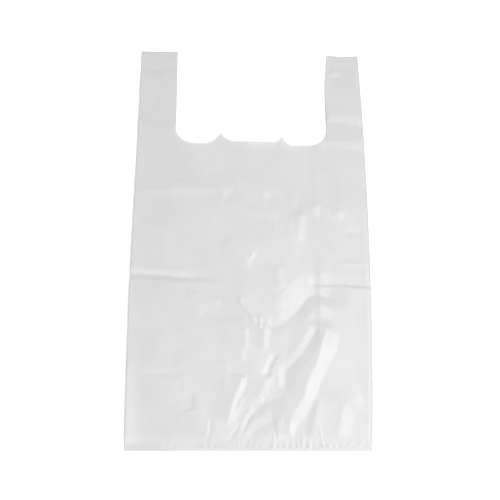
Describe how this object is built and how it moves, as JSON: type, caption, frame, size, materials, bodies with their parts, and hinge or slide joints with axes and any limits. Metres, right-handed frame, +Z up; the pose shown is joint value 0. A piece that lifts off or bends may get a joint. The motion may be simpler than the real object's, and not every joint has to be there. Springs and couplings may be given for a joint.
{
  "type": "plastic carrier bag",
  "caption": "Flat, empty vest-style carrier bag of thin translucent film, with gusseted sides, a sealed base, and handles either side of a die-cut, peaked mouth.",
  "frame": {"origin": "below the middle of the bag's outline, on the underside of the back panel that it lies on", "axes": "+X across the bag, +Y from the bottom seal to the handles, +Z up out of the back panel"},
  "size_m": [0.3, 0.53, 0.0036],
  "materials": {
    "film": "thin translucent film with a soft gloss and fine creases"
  },
  "bodies": {
    "root": {"bag": "film"}
  },
  "joints": []
}
